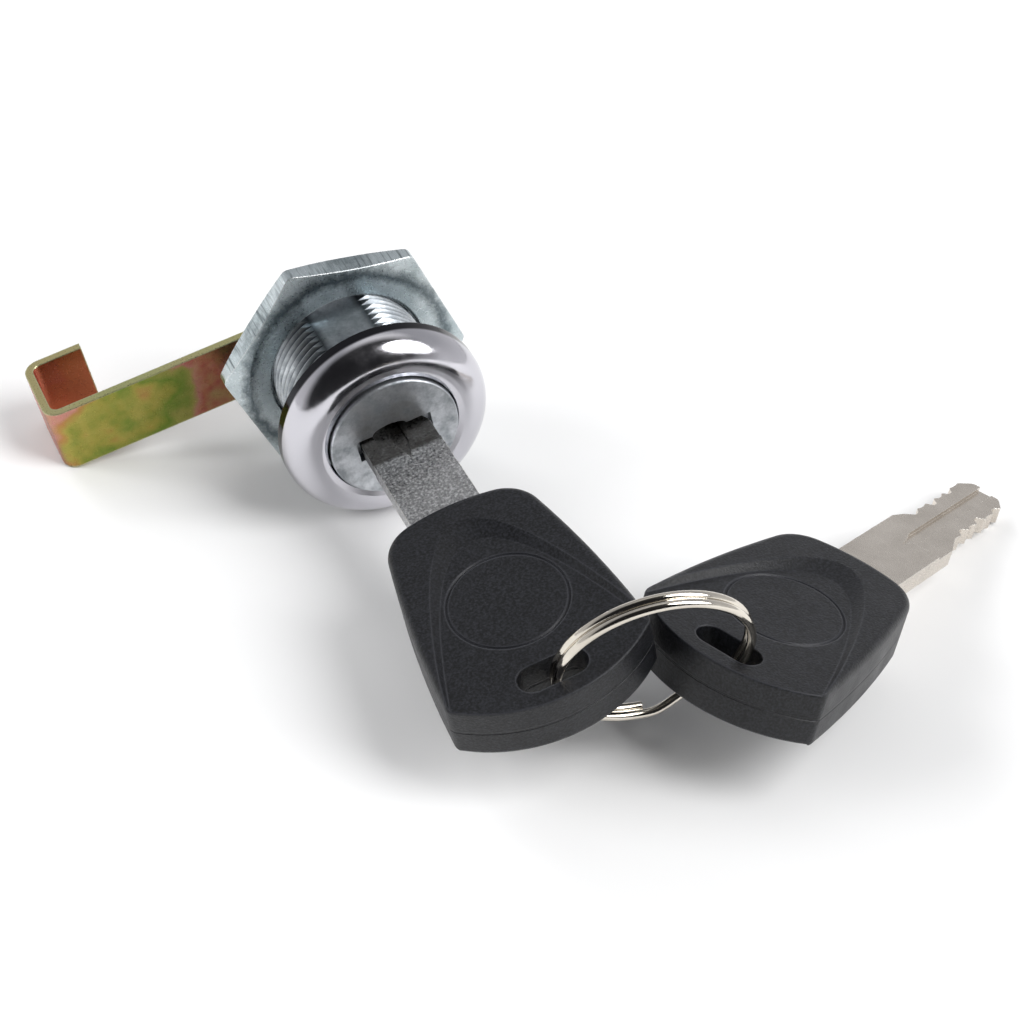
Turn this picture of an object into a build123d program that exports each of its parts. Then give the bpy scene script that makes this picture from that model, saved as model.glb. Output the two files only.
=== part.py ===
from build123d import *
import os
from math import asin, atan2, cos, degrees, hypot, radians, sin, sqrt

os.makedirs("parts", exist_ok=True)

# A panel cam lock lying on its side, with one key in it and a spare key on the same split ring.
# Millimetres, +Z up. The lock's axis is the Y axis and the key side faces -Y.
# The origin is on the axis, in the plane where the flange seats on a panel.

# ---------------------------------------------------------------- driving dimensions
# Barrel and flange
barrel_wall = 2.9
thread_pitch = 1.0
thread_depth = 0.55
thread_crest_width = 0.1
thread_runout = 0.9
barrel_length = 16.0
flat_depth = 1.1
flange_overhang = 2.8
flange_rim = 1.0
flange_height = 3.9
flange_land_width = 0.65
flange_bulge = 0.6
# Chromed cap pressed over the flange
cap_thickness = 0.5
cap_rim = 1.3
cap_groove_step = 0.73
cap_lip_drop = 0.25
cap_bulge = 0.8
# Plug
plug_head_step = 1.4
plug_head_thickness = 1.6
plug_face_height = 4.75
plug_radius = 6.6
plug_clearance = 0.06
plug_head_clearance = 0.22
seal_wire = 1.2
recess_width = 9.4
recess_height = 3.0
recess_depth = 1.4
recess_bump_width = 4.2
recess_bump_height = 1.6
recess_bump_offset = 0.5
shank_width = 6.6
face_rounding = 0.25
keyway_end_gap = 0.6
# Wafers
wafer_count = 6
wafer_pitch = 2.1
wafer_thickness = 1.2
wafer_height = 5.6
wafer_slot_clearance = 0.06
wafer_window_clearance = 0.45
wafer_groove_height = 6.6
wafer_lift = 0.8
wafer_groove_end_gap = 0.3
first_wafer_y = -1.2
spring_radius = 0.5
spring_wall = 0.2
spring_length = 1.6
spring_clearance = 0.05
# Keys
blade_width = 8.6
blade_thickness = 2.4
blade_wide_length = 16.4
blade_shoulder_length = 1.6
blade_narrow_width = 7.2
blade_length = 33.0
blade_tip_flat = 3.8
blade_tip_rounding = 0.9
blade_tang_width = 7.0
blade_tang_length = 10.0
blade_groove_start = 11.2
blade_groove_width = 1.7
blade_groove_depth = 0.55
blade_relief_depth = 0.35
bitting_pitch = 2.1
bitting_floor = 0.7
bitting_crest = 0.4
bitting_rounding = 0.3
bitting_depths = (0.5, 1.1, 0.8, 1.3, 0.6, 1.0)
key_exposed_length = 16.85
head_length = 31.5
head_front_width = 16.8
head_front_drop = 1.5
head_end_width = 23.6
head_end_drop = 4.7
head_side_bulge = 0.65
head_thickness = 7.7
head_front_rounding = 5.0
head_end_rounding = 1.1
head_edge_rounding = 1.0
head_field_depth = 0.7
head_rim_apex = 3.4
head_field_apex = 6.3
head_parabola = 6.0
badge_radius = 6.65
badge_line = 0.3
badge_line_depth = 0.2
badge_from_front = 16.3
slot_from_front = 27.6
slot_length = 8.0
slot_width = 3.6
# Nut
nut_across_flats = 27.0
nut_thickness = 3.1
nut_face_y = 10.3
nut_corner_rounding = 1.0
nut_edge_rounding = 0.35
nut_corner_turn = 3.0
nut_corner_depth = 0.75
nut_bore_chamfer = 0.35
nut_bore_clearance = 0.08
# Cam
cam_width = 8.7
cam_thickness = 1.0
cam_gap = 0.15
cam_reach = 35.6
cam_leg_depth = 11.0
cam_lip_length = 7.5
cam_inside_bend = 1.0
cam_hub_radius = 8.0
cam_hole_clearance = 0.05
# Turning stop
turn_angle = 90.0
stop_washer_inset = 0.6
stop_washer_thickness = 0.95
stop_washer_gap = 0.1
stop_tab_wall = 0.8
stop_tab_angle = 24.0
stop_tab_length = 1.6
stop_notch_depth = 2.0
stop_clearance = 0.3
# Fastening of the cam
screw_radius = 2.0
screw_length = 6.5
screw_end_gap = 0.3
screw_head_radius = 3.7
screw_head_height = 2.4
cross_width = 0.9
cross_length = 4.0
cross_depth = 1.3
cam_washer_radius = 5.6
cam_washer_thickness = 0.8
spring_washer_radius = 3.5
spring_washer_thickness = 1.0
spring_washer_gap = 0.7
# Split ring and spare key
wire_diameter = 1.0
ring_radius = 10.5
ring_ramp_angle = 24.0
ring_ramp_middle = 290.0
ring_end_gap = 3.0
ring_yaw = 8.5
ring_lean = 13.8
inserted_slot_angle = 200.8
spare_slot_angle = -26.7
spare_slot_inset = 0.9
spare_heading = 26.6
spare_dip = 11.1

# ---------------------------------------------------------------- derived directions and places
# The lock rolls until the lower corner of the hook lies on the same surface as the nut's flat.
floor_z = -nut_across_flats / 2
hook_corner = hypot(cam_reach, cam_width / 2)
roll = asin(-floor_z / hook_corner) - atan2(cam_width / 2, cam_reach)
lock_across = Vector(cos(roll), 0, sin(roll))
lock_up = Vector(-sin(roll), 0, cos(roll))

thread_radius = plug_radius + barrel_wall
flat_distance = thread_radius - flat_depth
flange_radius = thread_radius + flange_overhang
plug_head_radius = plug_radius + plug_head_step
seal_seat_radius = plug_head_radius + plug_head_clearance
cap_groove_radius = seal_seat_radius + cap_groove_step
flange_crest_radius = cap_groove_radius + flange_land_width
stop_washer_radius = thread_radius - stop_washer_inset
stop_tab_inner = plug_radius + stop_tab_wall
plug_face_y = -plug_face_height
plug_head_back_y = plug_face_y + plug_head_thickness
shoulder_y = barrel_length + stop_washer_gap
stop_washer_back_y = shoulder_y + stop_washer_thickness
cam_face_y = stop_washer_back_y + cam_gap
cam_back_y = cam_face_y + cam_thickness
shank_hole_width = shank_width + 2 * cam_hole_clearance
keyway_width = blade_narrow_width + 2 * wafer_window_clearance
keyway_height = blade_thickness + 2 * wafer_window_clearance / 3


def station(y):
    """Cross-section plane of the lock at y: local x across, local y up, normal to the front."""
    return Plane(origin=(0, y, 0), x_dir=lock_across, z_dir=(0, -1, 0))


def bulged(start, end, bulge):
    """Middle point of an arc between two profile points, pushed out from their chord by bulge."""
    length = hypot(end[0] - start[0], end[1] - start[1])
    across_chord = ((end[1] - start[1]) / length, (start[0] - end[0]) / length)
    return (
        (start[0] + end[0]) / 2 + bulge * across_chord[0],
        (start[1] + end[1]) / 2 + bulge * across_chord[1],
    )


def sector(radius, start, sweep):
    """Pie-shaped face about the axis, from the start angle through the sweep, in degrees."""
    first = (radius * cos(radians(start)), radius * sin(radians(start)))
    last = (radius * cos(radians(start + sweep)), radius * sin(radians(start + sweep)))
    with BuildLine() as outline:
        Line((0, 0), first)
        CenterArc((0, 0), radius, start, sweep)
        Line(last, (0, 0))
    make_face(outline.edges())


def save(builder, name):
    """Label the finished piece and write it to its own file."""
    builder.part.label = name
    export_step(builder.part, f"parts/{name}.step")


# ---------------------------------------------------------------- housing
flange_top_y = -flange_height
flange_crest = (flange_crest_radius, flange_top_y)
flange_edge = (flange_radius, -flange_rim)
thread_turns = int((barrel_length - 2 * thread_runout) / thread_pitch)

with BuildPart() as housing:
    with BuildSketch(Plane.XY):
        with BuildLine():
            Polyline(
                (plug_radius + plug_clearance, barrel_length),
                (plug_radius + plug_clearance, plug_head_back_y + seal_wire),
                (seal_seat_radius, plug_head_back_y + seal_wire),
                (seal_seat_radius, flange_top_y),
                (flange_crest_radius, flange_top_y),
            )
            ThreePointArc(flange_crest, bulged(flange_crest, flange_edge, flange_bulge), flange_edge)
            Polyline(
                (flange_radius, -flange_rim),
                (flange_radius, 0),
                (thread_radius, 0),
                (thread_radius, barrel_length),
                (plug_radius + plug_clearance, barrel_length),
            )
        make_face()
    revolve(axis=Axis.Y)
    # Thread, as one V groove for each turn
    groove_half = (thread_pitch - thread_crest_width) / 2
    with BuildSketch(Plane.XY):
        for turn in range(thread_turns):
            groove_y = thread_runout + thread_pitch * (turn + 0.5)
            with BuildLine():
                Polyline(
                    (thread_radius, groove_y - groove_half),
                    (thread_radius - thread_depth, groove_y),
                    (thread_radius, groove_y + groove_half),
                    close=True,
                )
            make_face()
    revolve(axis=Axis.Y, mode=Mode.SUBTRACT)
    # Two flats along the barrel
    for side in (1, -1):
        with BuildSketch(station(barrel_length)):
            with Locations((0, side * (flat_distance + thread_radius) / 2)):
                Rectangle(2 * thread_radius, thread_radius - flat_distance)
        extrude(amount=barrel_length, mode=Mode.SUBTRACT)
    # Grooves that the wafers enter when the key is drawn out, at both key-out positions
    wafer_zone_start = first_wafer_y - wafer_thickness
    wafer_zone_length = wafer_pitch * wafer_count + wafer_thickness
    wafer_groove_width = 2 * (plug_radius + wafer_lift + wafer_groove_end_gap)
    with BuildSketch(station(wafer_zone_start + wafer_zone_length)):
        for quarter in (0, 90):
            Rectangle(wafer_groove_width, wafer_groove_height, rotation=quarter)
    extrude(amount=wafer_zone_length, mode=Mode.SUBTRACT)
    # Notch for the tab of the stop washer
    stop_spare_angle = degrees(stop_clearance / stop_tab_inner)
    notch_start = 180 - turn_angle - stop_tab_angle / 2 - stop_spare_angle
    with BuildSketch(station(barrel_length)):
        sector(2 * thread_radius, notch_start, turn_angle + stop_tab_angle + 2 * stop_spare_angle)
        Circle(stop_tab_inner - stop_clearance, mode=Mode.SUBTRACT)
    extrude(amount=stop_notch_depth, mode=Mode.SUBTRACT)
save(housing, "housing")

# ---------------------------------------------------------------- bezel cap
cap_radius = flange_radius + cap_thickness
cap_crest_y = flange_top_y - cap_thickness
cap_crest = (flange_crest_radius, cap_crest_y)
cap_edge = (cap_radius, -cap_rim)

with BuildPart() as bezel_cap:
    with BuildSketch(Plane.XY):
        with BuildLine():
            Polyline(
                (seal_seat_radius, flange_top_y),
                (seal_seat_radius, cap_crest_y + cap_lip_drop),
                (cap_groove_radius, cap_crest_y),
                cap_crest,
            )
            ThreePointArc(cap_crest, bulged(cap_crest, cap_edge, cap_bulge), cap_edge)
            Polyline(
                (cap_radius, -cap_rim),
                (cap_radius, 0),
                (flange_radius, 0),
                (flange_radius, -flange_rim),
            )
            ThreePointArc(flange_edge, bulged(flange_crest, flange_edge, flange_bulge), flange_crest)
            Line(flange_crest, (seal_seat_radius, flange_top_y))
        make_face()
    revolve(axis=Axis.Y)
save(bezel_cap, "bezel_cap")

# ---------------------------------------------------------------- plug
wafer_ys = [first_wafer_y + wafer_pitch * i for i in range(wafer_count)]
key_tip_y = plug_face_y - key_exposed_length + blade_length
keyway_end_y = key_tip_y + keyway_end_gap
wafer_slot_height = wafer_height + 2 * wafer_slot_clearance
wafer_slot_thickness = wafer_thickness + 2 * wafer_slot_clearance
screw_hole_y = cam_back_y - screw_length
shank_end_y = cam_back_y - cam_hole_clearance

with BuildPart() as plug:
    with BuildSketch(station(plug_head_back_y)):
        Circle(plug_head_radius)
    extrude(amount=plug_head_thickness)
    with BuildSketch(station(shoulder_y)):
        Circle(plug_radius)
    extrude(amount=shoulder_y - plug_head_back_y)
    with BuildSketch(station(shank_end_y)):
        Rectangle(shank_width, shank_width)
    extrude(amount=shank_end_y - shoulder_y)
    # Recess of the key entry, with a bump on its upper side
    with BuildSketch(station(plug_face_y + recess_depth)):
        Rectangle(recess_width, recess_height)
        with Locations((-recess_bump_offset, recess_height / 2)):
            Ellipse(recess_bump_width / 2, recess_bump_height / 2)
    extrude(amount=recess_depth, mode=Mode.SUBTRACT)
    with BuildSketch(station(keyway_end_y)):
        Rectangle(keyway_width, keyway_height)
    extrude(amount=keyway_end_y - plug_face_y, mode=Mode.SUBTRACT)
    # Slots across the plug for the wafers
    for wafer_y in wafer_ys:
        with BuildSketch(station(wafer_y + wafer_thickness + wafer_slot_clearance)):
            Rectangle(2.2 * plug_radius, wafer_slot_height)
        extrude(amount=wafer_slot_thickness, mode=Mode.SUBTRACT)
    # Hole for the screw that holds the cam
    with BuildSketch(station(shank_end_y)):
        Circle(screw_radius + cam_hole_clearance)
    extrude(amount=shank_end_y - screw_hole_y + screw_end_gap, mode=Mode.SUBTRACT)
    fillet(plug.faces().sort_by(Axis.Y)[0].outer_wire().edges(), radius=face_rounding)
save(plug, "plug")

# ---------------------------------------------------------------- rubber ring behind the plug's head
with BuildPart() as plug_seal:
    seal_centre = (plug_radius + seal_seat_radius) / 2
    with BuildSketch(Plane.XY):
        with Locations((seal_centre, plug_head_back_y + seal_wire / 2)):
            Circle(seal_wire / 2 - plug_clearance)
    revolve(axis=Axis.Y)
save(plug_seal, "plug_seal")

# ---------------------------------------------------------------- wafers and their springs
wafer_outer = plug_radius - wafer_slot_clearance
spring_seat_x = sqrt(plug_radius ** 2 - (wafer_height / 2) ** 2) - spring_length
spring_pocket_depth = 2 * (spring_radius + spring_clearance)
spring_pocket_length = spring_length + wafer_lift + 2 * spring_clearance

for index, wafer_y in enumerate(wafer_ys):
    side = 1 if index % 2 == 0 else -1
    with BuildPart() as wafer:
        with BuildSketch(station(wafer_y + wafer_thickness)):
            Circle(wafer_outer)
            Rectangle(2 * wafer_outer, wafer_height, mode=Mode.INTERSECT)
            Rectangle(keyway_width, keyway_height, mode=Mode.SUBTRACT)
            with Locations((side * (spring_seat_x - wafer_lift / 2), wafer_height / 2)):
                Rectangle(spring_pocket_length, 2 * spring_pocket_depth, mode=Mode.SUBTRACT)
        extrude(amount=wafer_thickness)
    save(wafer, f"wafer_{index + 1}")

with BuildPart() as wafer_springs:
    for index, wafer_y in enumerate(wafer_ys):
        side = 1 if index % 2 == 0 else -1
        with BuildSketch(Plane(
            origin=Vector(0, wafer_y + wafer_thickness / 2, 0)
            + lock_up * (wafer_height / 2 - spring_radius)
            + lock_across * (side * (spring_seat_x - spring_length / 2)),
            x_dir=(0, 1, 0),
            z_dir=lock_across * side,
        )):
            Circle(spring_radius - spring_clearance)
            Circle(spring_radius - spring_clearance - spring_wall, mode=Mode.SUBTRACT)
        extrude(amount=spring_length)
save(wafer_springs, "wafer_springs")

# ---------------------------------------------------------------- hex nut
nut_bore_radius = thread_radius + nut_bore_clearance
nut_plane = Plane(origin=(0, nut_face_y + nut_thickness, 0), x_dir=(0, 0, 1), z_dir=(0, -1, 0))
with BuildPart() as hex_nut:
    with BuildSketch(nut_plane):
        RegularPolygon(nut_across_flats / 2, 6, major_radius=False, rotation=30)
    extrude(amount=nut_thickness)
    fillet(hex_nut.edges().filter_by(Axis.Y), radius=nut_corner_rounding)
    nut_faces = hex_nut.faces().sort_by(Axis.Y)
    fillet(nut_faces[0].edges() + nut_faces[-1].edges(), radius=nut_edge_rounding)
    # The corners are turned down on both faces
    nut_back_y = nut_face_y + nut_thickness
    corner_radius = nut_across_flats / sqrt(3)
    with BuildSketch(Plane.XY):
        with BuildLine():
            Polyline(
                (0, nut_face_y),
                (corner_radius - nut_corner_turn, nut_face_y),
                (corner_radius, nut_face_y + nut_corner_depth),
                (corner_radius, nut_back_y - nut_corner_depth),
                (corner_radius - nut_corner_turn, nut_back_y),
                (0, nut_back_y),
                close=True,
            )
        make_face()
    revolve(axis=Axis.Y, mode=Mode.INTERSECT)
    with BuildSketch(nut_plane):
        Circle(nut_bore_radius)
    extrude(amount=nut_thickness, mode=Mode.SUBTRACT)
    bore_rims = hex_nut.edges().filter_by(GeomType.CIRCLE).sort_by(SortBy.RADIUS)[:2]
    chamfer(bore_rims, nut_bore_chamfer)
save(hex_nut, "hex_nut")

# ---------------------------------------------------------------- stop washer
with BuildPart() as stop_washer:
    with BuildSketch(station(stop_washer_back_y)):
        Circle(stop_washer_radius)
        Rectangle(shank_hole_width, shank_hole_width, mode=Mode.SUBTRACT)
    extrude(amount=stop_washer_thickness)
    # Tab bent forward into the notch of the barrel
    with BuildSketch(station(shoulder_y)):
        sector(stop_washer_radius, 180 - stop_tab_angle / 2, stop_tab_angle)
        Circle(stop_tab_inner, mode=Mode.SUBTRACT)
    extrude(amount=stop_tab_length)
save(stop_washer, "stop_washer")

# ---------------------------------------------------------------- cam
with BuildPart() as cam:
    # Strip with its hook, drawn in the plane across the width
    strip_plane = Plane(origin=lock_up * (-cam_width / 2), x_dir=lock_across, z_dir=lock_up)
    leg_y = cam_face_y + cam_leg_depth
    with BuildSketch(strip_plane):
        with BuildLine():
            Polyline(
                (0, cam_face_y),
                (-cam_reach, cam_face_y),
                (-cam_reach, leg_y),
                (-cam_reach + cam_lip_length, leg_y),
                (-cam_reach + cam_lip_length, leg_y - cam_thickness),
                (-cam_reach + cam_thickness, leg_y - cam_thickness),
                (-cam_reach + cam_thickness, cam_back_y),
                (0, cam_back_y),
                (0, cam_face_y),
            )
        make_face()
        fillet(vertices().group_by(Axis.X)[0], radius=cam_inside_bend + cam_thickness)
        inner_corners = vertices().filter_by(lambda v: abs(v.X + cam_reach - cam_thickness) < 0.01)
        fillet(inner_corners, radius=cam_inside_bend)
    extrude(amount=cam_width)
    with BuildSketch(station(cam_back_y)):
        Circle(cam_hub_radius)
    extrude(amount=cam_thickness)
    with BuildSketch(station(cam_back_y)):
        Rectangle(shank_hole_width, shank_hole_width)
    extrude(amount=cam_thickness, mode=Mode.SUBTRACT)
save(cam, "cam")

# ---------------------------------------------------------------- washers and screw behind the cam
spring_washer_y = cam_back_y + cam_washer_thickness
screw_seat_y = spring_washer_y + spring_washer_thickness
screw_end_y = screw_seat_y + screw_head_height

with BuildPart() as cam_washer:
    with BuildSketch(station(spring_washer_y)):
        Circle(cam_washer_radius)
        Circle(screw_radius + cam_hole_clearance, mode=Mode.SUBTRACT)
    extrude(amount=cam_washer_thickness)
save(cam_washer, "cam_washer")

with BuildPart() as spring_washer:
    with BuildSketch(station(screw_seat_y)):
        Circle(spring_washer_radius)
        Circle(screw_radius + cam_hole_clearance, mode=Mode.SUBTRACT)
        with Locations((spring_washer_radius / 2, 0)):
            Rectangle(spring_washer_radius, spring_washer_gap, mode=Mode.SUBTRACT)
    extrude(amount=spring_washer_thickness)
save(spring_washer, "spring_washer")

with BuildPart() as cam_screw:
    with BuildSketch(station(screw_seat_y)):
        Circle(screw_radius)
    extrude(amount=screw_seat_y - screw_hole_y)
    with BuildSketch(station(screw_end_y)):
        Circle(screw_head_radius)
    extrude(amount=screw_head_height)
    fillet(cam_screw.edges().filter_by(GeomType.CIRCLE).sort_by(Axis.Y)[-1], radius=screw_head_height / 2)
    with BuildSketch(station(screw_end_y)):
        Rectangle(cross_length, cross_width)
        Rectangle(cross_width, cross_length)
    extrude(amount=cross_depth, mode=Mode.SUBTRACT)
save(cam_screw, "cam_screw")

# ---------------------------------------------------------------- keys
half_narrow = blade_narrow_width / 2
half_wide = blade_width / 2
shoulder_end = blade_wide_length + blade_shoulder_length


def edge_points(side, depths):
    """Points of one bitted edge, from the shoulder to the tip; side is 1 or -1."""
    points = [(side * half_wide, blade_wide_length), (side * half_narrow, shoulder_end)]
    for number, depth in enumerate(depths):
        valley = shoulder_end + bitting_pitch * (number + 0.75)
        points.append((side * (half_narrow - depth), valley - bitting_floor / 2))
        points.append((side * (half_narrow - depth), valley + bitting_floor / 2))
        points.append((side * (half_narrow - bitting_crest), valley + bitting_pitch / 2))
    points.append((side * blade_tip_flat / 2, blade_length))
    return points


def make_blade():
    """Flat blade with its tang along the Y axis; it leaves the head at the origin."""
    right = edge_points(1, bitting_depths)
    left = edge_points(-1, bitting_depths[::-1])
    half_tang = blade_tang_width / 2
    tip_start = blade_length - bitting_pitch / 4
    with BuildPart() as blade:
        with BuildSketch(Plane.XY.offset(-blade_thickness / 2)):
            with BuildLine():
                Polyline(
                    (half_tang, 0),
                    (half_tang, -blade_tang_length),
                    (-half_tang, -blade_tang_length),
                    (-half_tang, 0),
                    (-half_wide, 0),
                    *left,
                    *right[::-1],
                    (half_wide, 0),
                    (half_tang, 0),
                )
            make_face()
            bitted = vertices().filter_by_position(Axis.Y, shoulder_end + bitting_pitch / 4, tip_start)
            fillet(bitted, radius=bitting_rounding)
            fillet(vertices().group_by(Axis.Y)[-1], radius=blade_tip_rounding)
        extrude(amount=blade_thickness)
        # A groove along the middle and thinner ground beside it, on both faces
        run = blade_length - blade_groove_start
        relief_middle = blade_groove_start + blade_groove_width + run / 2
        for face_side in (1, -1):
            groove_plane = Plane.XY.offset(face_side * (blade_thickness / 2 - blade_groove_depth))
            with BuildSketch(groove_plane):
                with BuildLine():
                    Polyline(
                        (0, blade_groove_start),
                        (blade_groove_width / 2, blade_groove_start + 2 * blade_groove_width),
                        (blade_groove_width / 2, blade_length + 1),
                        (-blade_groove_width / 2, blade_length + 1),
                        (-blade_groove_width / 2, blade_groove_start + 2 * blade_groove_width),
                        (0, blade_groove_start),
                    )
                make_face()
            extrude(amount=face_side * blade_thickness, mode=Mode.SUBTRACT)
            relief_plane = Plane.XY.offset(face_side * (blade_thickness / 2 - blade_relief_depth))
            with BuildSketch(relief_plane):
                with Locations((face_side * half_wide / 2, relief_middle)):
                    Rectangle(half_wide, run)
            extrude(amount=face_side * blade_thickness, mode=Mode.SUBTRACT)
    return blade


def make_head():
    """Moulded head around the tang, in the same place as its blade."""
    half_front = head_front_width / 2
    half_end = head_end_width / 2
    corner_y = head_end_drop - head_length
    side_mid = ((half_front + half_end) / 2 + head_side_bulge, (corner_y - head_front_drop) / 2)
    far = 2 * head_length
    reach = sqrt(head_parabola * (far - head_rim_apex))
    with BuildPart() as head:
        with BuildSketch(Plane.XY.offset(-head_thickness / 2)):
            with BuildLine():
                ThreePointArc((-half_front, -head_front_drop), (0, 0), (half_front, -head_front_drop))
                ThreePointArc((half_front, -head_front_drop), side_mid, (half_end, corner_y))
                ThreePointArc((half_end, corner_y), (0, -head_length), (-half_end, corner_y))
                ThreePointArc(
                    (-half_end, corner_y), (-side_mid[0], side_mid[1]), (-half_front, -head_front_drop)
                )
            make_face()
            fillet(vertices().sort_by(Axis.Y)[-2:], radius=head_front_rounding)
            fillet(vertices().sort_by(Axis.Y)[:2], radius=head_end_rounding)
        extrude(amount=head_thickness)
        rims = head.faces().sort_by(Axis.Z)
        fillet(rims[0].edges() + rims[-1].edges(), radius=head_edge_rounding)
        # On both faces: a lower field inside a sloping arched step, an empty engraved circle
        for face_side in (1, -1):
            top = Plane.XY.offset(face_side * head_thickness / 2)
            bottom = Plane.XY.offset(face_side * (head_thickness / 2 - head_field_depth))
            for level, apex in ((top, head_rim_apex), (bottom, head_field_apex)):
                with BuildSketch(level):
                    with BuildLine():
                        Bezier((-reach, -far), (0, far - 2 * apex), (reach, -far))
                        Line((reach, -far), (-reach, -far))
                    make_face()
            loft(mode=Mode.SUBTRACT)
            line_plane = Plane.XY.offset(
                face_side * (head_thickness / 2 - head_field_depth - badge_line_depth)
            )
            with BuildSketch(line_plane):
                with Locations((0, -badge_from_front)):
                    Circle(badge_radius + badge_line / 2)
                    Circle(badge_radius - badge_line / 2, mode=Mode.SUBTRACT)
            extrude(amount=face_side * head_thickness, mode=Mode.SUBTRACT)
        with BuildSketch(Plane.XY.offset(-head_thickness)):
            with Locations((0, -slot_from_front)):
                SlotOverall(slot_length, slot_width)
        extrude(amount=2 * head_thickness, mode=Mode.SUBTRACT)
        # Room for the tang
        with BuildSketch(Plane.XY.offset(-blade_thickness / 2)):
            with Locations((0, -blade_tang_length / 2)):
                Rectangle(blade_tang_width, blade_tang_length)
        extrude(amount=blade_thickness, mode=Mode.SUBTRACT)
    return head


def place(builder, plane):
    """Copy of a finished piece, moved from the XY plane to the given plane."""
    with BuildPart() as placed:
        with Locations(plane.location):
            add(builder.part)
    return placed


key_origin = Vector(0, plug_face_y - key_exposed_length, 0)
key_plane = Plane(origin=key_origin, x_dir=lock_across, z_dir=lock_up)

# The ring passes through the slot of each head.
ring_facing = Vector(0, -1, 0).rotate(Axis.X, ring_lean).rotate(Axis.Z, -ring_yaw)
ring_across = Vector(1, 0, 0).rotate(Axis.Z, -ring_yaw)
ring_up = ring_facing.cross(ring_across)


def on_ring(angle, radius):
    """Vector from the ring's centre to a point at the given angle from its horizontal."""
    return ring_across * (radius * cos(radians(angle))) + ring_up * (radius * sin(radians(angle)))


inserted_slot = key_origin + Vector(0, -slot_from_front, 0)
ring_centre = inserted_slot - on_ring(inserted_slot_angle, ring_radius)
spare_slot = ring_centre + on_ring(spare_slot_angle, ring_radius - spare_slot_inset)
spare_along = Vector(cos(radians(spare_dip)), 0, -sin(radians(spare_dip))).rotate(Axis.Z, spare_heading)
spare_up = Vector(sin(radians(spare_dip)), 0, cos(radians(spare_dip))).rotate(Axis.Z, spare_heading)
spare_origin = spare_slot + spare_along * slot_from_front
spare_plane = Plane(origin=spare_origin, x_dir=spare_along.cross(spare_up), z_dir=spare_up)

blade_blank = make_blade()
head_blank = make_head()
for prefix, plane in (("key", key_plane), ("spare_key", spare_plane)):
    save(place(blade_blank, plane), f"{prefix}_blade")
    save(place(head_blank, plane), f"{prefix}_head")

# ---------------------------------------------------------------- split ring
# Two flat turns side by side, joined by a short ramp where both wire ends stop
ring_plane = Plane(origin=ring_centre, x_dir=ring_across, z_dir=ring_facing)
ramp_start = ring_ramp_middle - ring_ramp_angle / 2
ramp_end = ring_ramp_middle + ring_ramp_angle / 2
turn_sweep = 360 - ring_ramp_angle - ring_end_gap
half_wire = wire_diameter / 2

with BuildPart() as split_ring:
    with BuildLine(ring_plane.offset(half_wire)):
        front_turn = CenterArc((0, 0), ring_radius, ramp_start - turn_sweep, turn_sweep)
    with BuildLine(ring_plane.offset(-half_wire)):
        back_turn = CenterArc((0, 0), ring_radius, ramp_end, turn_sweep)
    with BuildLine():
        ramp = Spline(
            front_turn @ 1, back_turn @ 0, tangents=(front_turn % 1, back_turn % 0)
        )
    for path in (front_turn, ramp, back_turn):
        with BuildSketch(Plane(origin=path @ 0, z_dir=path % 0)):
            Circle(half_wire)
        sweep(path=path)
save(split_ring, "split_ring")
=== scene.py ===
"""The looks of a panel cam lock with its hex nut, hooked cam and two keys on a split ring."""

import logging
import math
from dataclasses import dataclass, field
from enum import Enum
from functools import partial
from typing import Any

import bpy
from mathutils import Matrix, Vector


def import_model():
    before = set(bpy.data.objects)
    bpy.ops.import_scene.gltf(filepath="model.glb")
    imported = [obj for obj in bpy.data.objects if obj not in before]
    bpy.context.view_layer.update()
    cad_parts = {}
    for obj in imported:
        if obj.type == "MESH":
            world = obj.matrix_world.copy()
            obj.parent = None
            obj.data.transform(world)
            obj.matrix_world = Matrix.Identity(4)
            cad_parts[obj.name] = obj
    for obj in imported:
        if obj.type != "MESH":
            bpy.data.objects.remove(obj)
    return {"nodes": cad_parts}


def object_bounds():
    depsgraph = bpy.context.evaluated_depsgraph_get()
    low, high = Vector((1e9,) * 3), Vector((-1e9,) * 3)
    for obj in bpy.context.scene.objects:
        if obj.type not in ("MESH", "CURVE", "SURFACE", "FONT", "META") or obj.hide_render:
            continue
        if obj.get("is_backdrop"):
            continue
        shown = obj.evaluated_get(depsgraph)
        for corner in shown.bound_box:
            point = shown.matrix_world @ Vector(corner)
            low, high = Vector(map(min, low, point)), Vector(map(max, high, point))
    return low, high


logging.basicConfig(level=logging.INFO, format="%(levelname)s %(message)s")
LOG = logging.getLogger("cam_lock")

MM = 0.001
LOCK_ROLL = math.radians(15.145)
LOCK_UP = Vector((-math.sin(LOCK_ROLL), 0.0, math.cos(LOCK_ROLL)))
SPARE_HEADING = math.radians(26.6)
SPARE_DIP = math.radians(11.1)
SPARE_ORIGIN = (0.0424276, -0.0396536, -0.0058816)

# Where a noise texture's values begin and end, but for a few strays
NOISE_LOW = 0.3
NOISE_HIGH = 0.7

# How near the softened and the real normal are, where an edge's lighter paint (wear and painted highlight)
# begins and where it is whole
EDGE_START = 0.995
EDGE_END = 0.93
EDGE_SAMPLES = 6

# A Mix node that blends colours has its colours on these sockets
RGBA = {"data_type": "RGBA"}
FIRST = 6
SECOND = 7
BLEND = 2

Socket = bpy.types.NodeSocket
Tree = bpy.types.NodeTree
Sockets = dict[str | int, Any]


class Axis3(Enum):
    """The axes of an object's own coordinates, by their output on a Separate XYZ node."""

    X = "X"
    Y = "Y"
    Z = "Z"


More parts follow.
